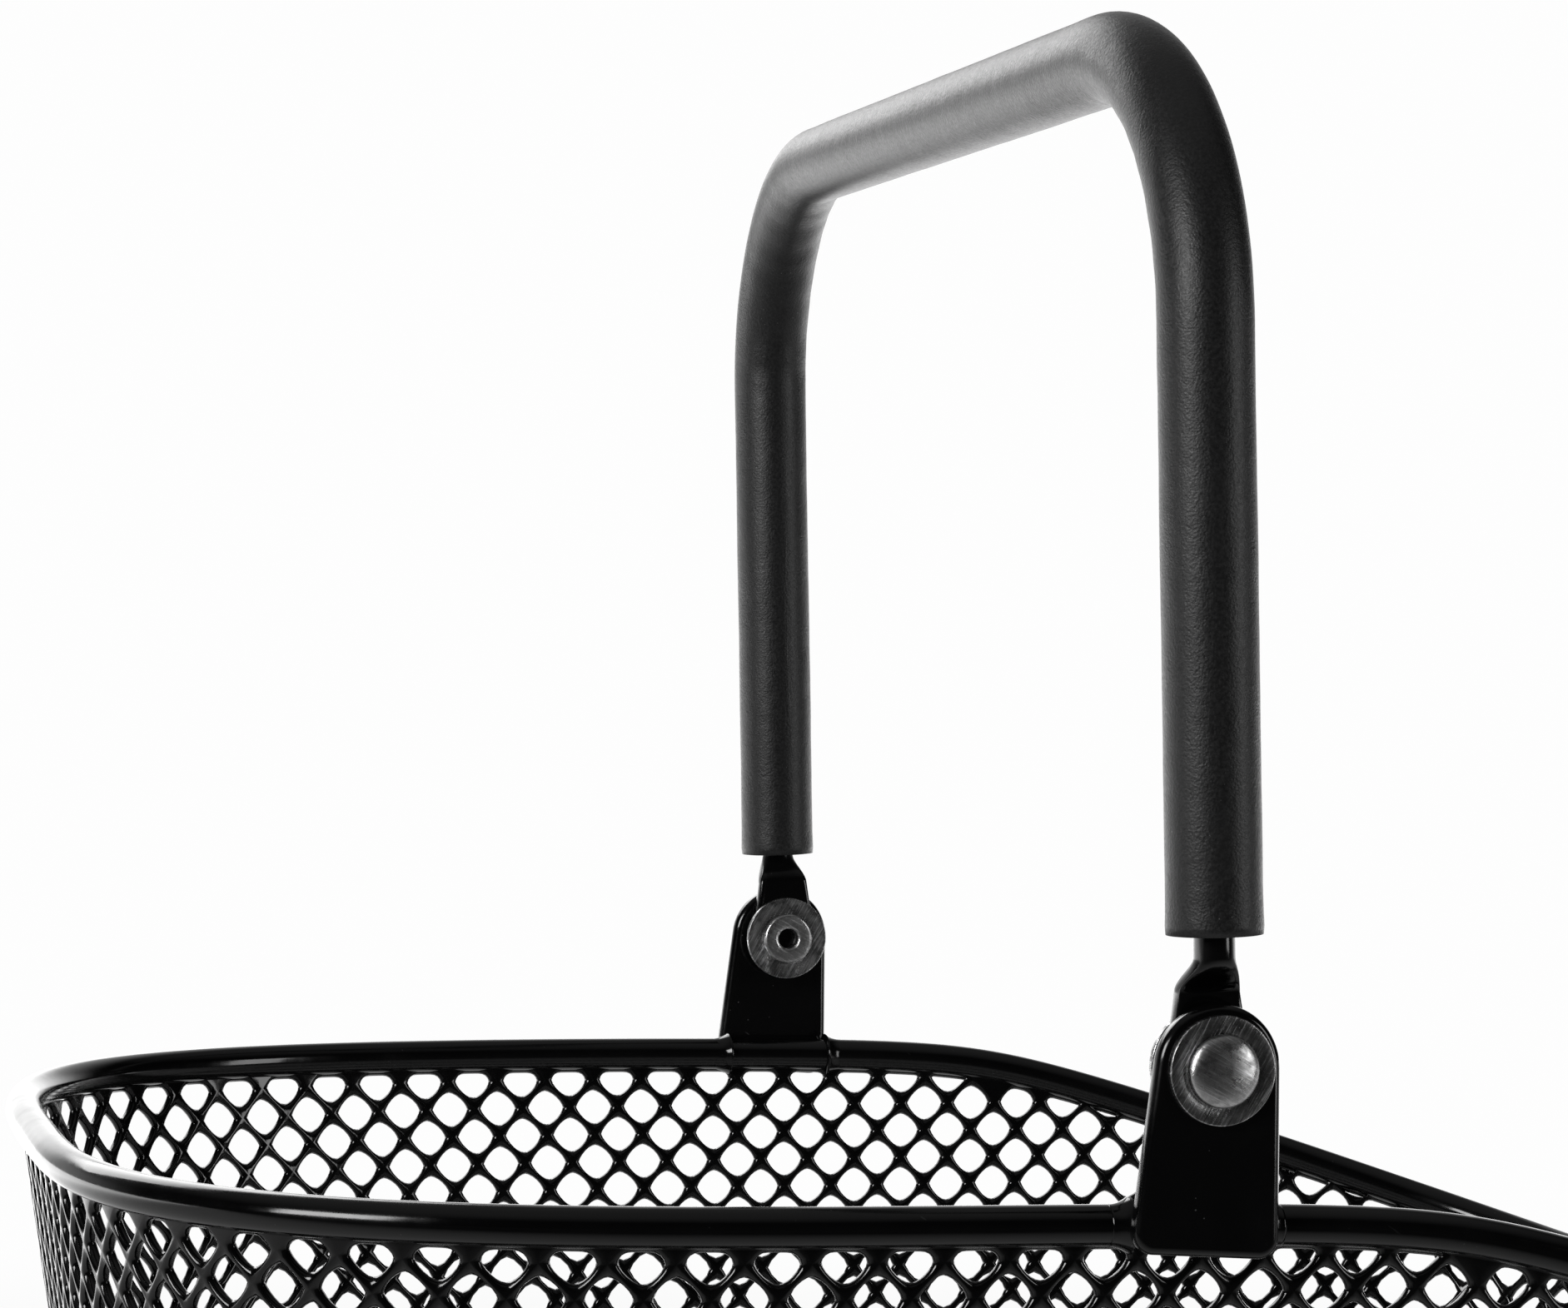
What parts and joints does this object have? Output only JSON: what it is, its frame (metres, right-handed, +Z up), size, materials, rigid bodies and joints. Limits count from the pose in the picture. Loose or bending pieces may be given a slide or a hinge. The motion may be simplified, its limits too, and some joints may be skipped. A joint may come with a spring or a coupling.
{
  "type": "shopping basket",
  "caption": "Carrying basket of black coated expanded metal with a round wire rim lowered at one end, and a swinging bail handle in a soft sleeve, riveted to a bracket on each long side.",
  "frame": {"origin": "on the plane the basket stands on, under the middle of the rim's length and width", "axes": "+X along the basket towards the end whose rim is lowered, +Y across it along the handle's pivots, +Z up"},
  "size_m": [0.4156, 0.345, 0.4472],
  "materials": {
    "coated_sheet": "thick glossy black coating over expanded steel",
    "coated_wire": "glossy black coating with fine scratches",
    "bare_steel": "worn bare steel with brushed scratches",
    "grip_foam": "matte charcoal rubber foam with a fine leathery grain"
  },
  "bodies": {
    "basket": {"wall_mesh": "coated_sheet", "floor_mesh": "coated_sheet", "rim_hoop": "coated_wire", "base_hoop": "coated_wire", "floor_wire_1": "coated_wire", "floor_wire_2": "coated_wire", "floor_wire_3": "coated_wire", "skid_left": "coated_wire", "skid_right": "coated_wire", "bracket_left": "coated_wire", "bracket_right": "coated_wire", "rivet_left": "bare_steel", "rivet_right": "bare_steel", "outer_washer_left": "bare_steel", "outer_washer_right": "bare_steel", "inner_washer_left": "bare_steel", "inner_washer_right": "bare_steel"},
    "handle": {"handle_rod": "coated_wire", "grip_sleeve": "grip_foam"}
  },
  "joints": [
    {"name": "handle_pivot", "type": "hinge", "parent": "basket", "child": "handle", "pos_m": [0, 0, 0.243], "axis": [0, 1, 0], "range_deg": [-92.5, 108]}
  ]
}
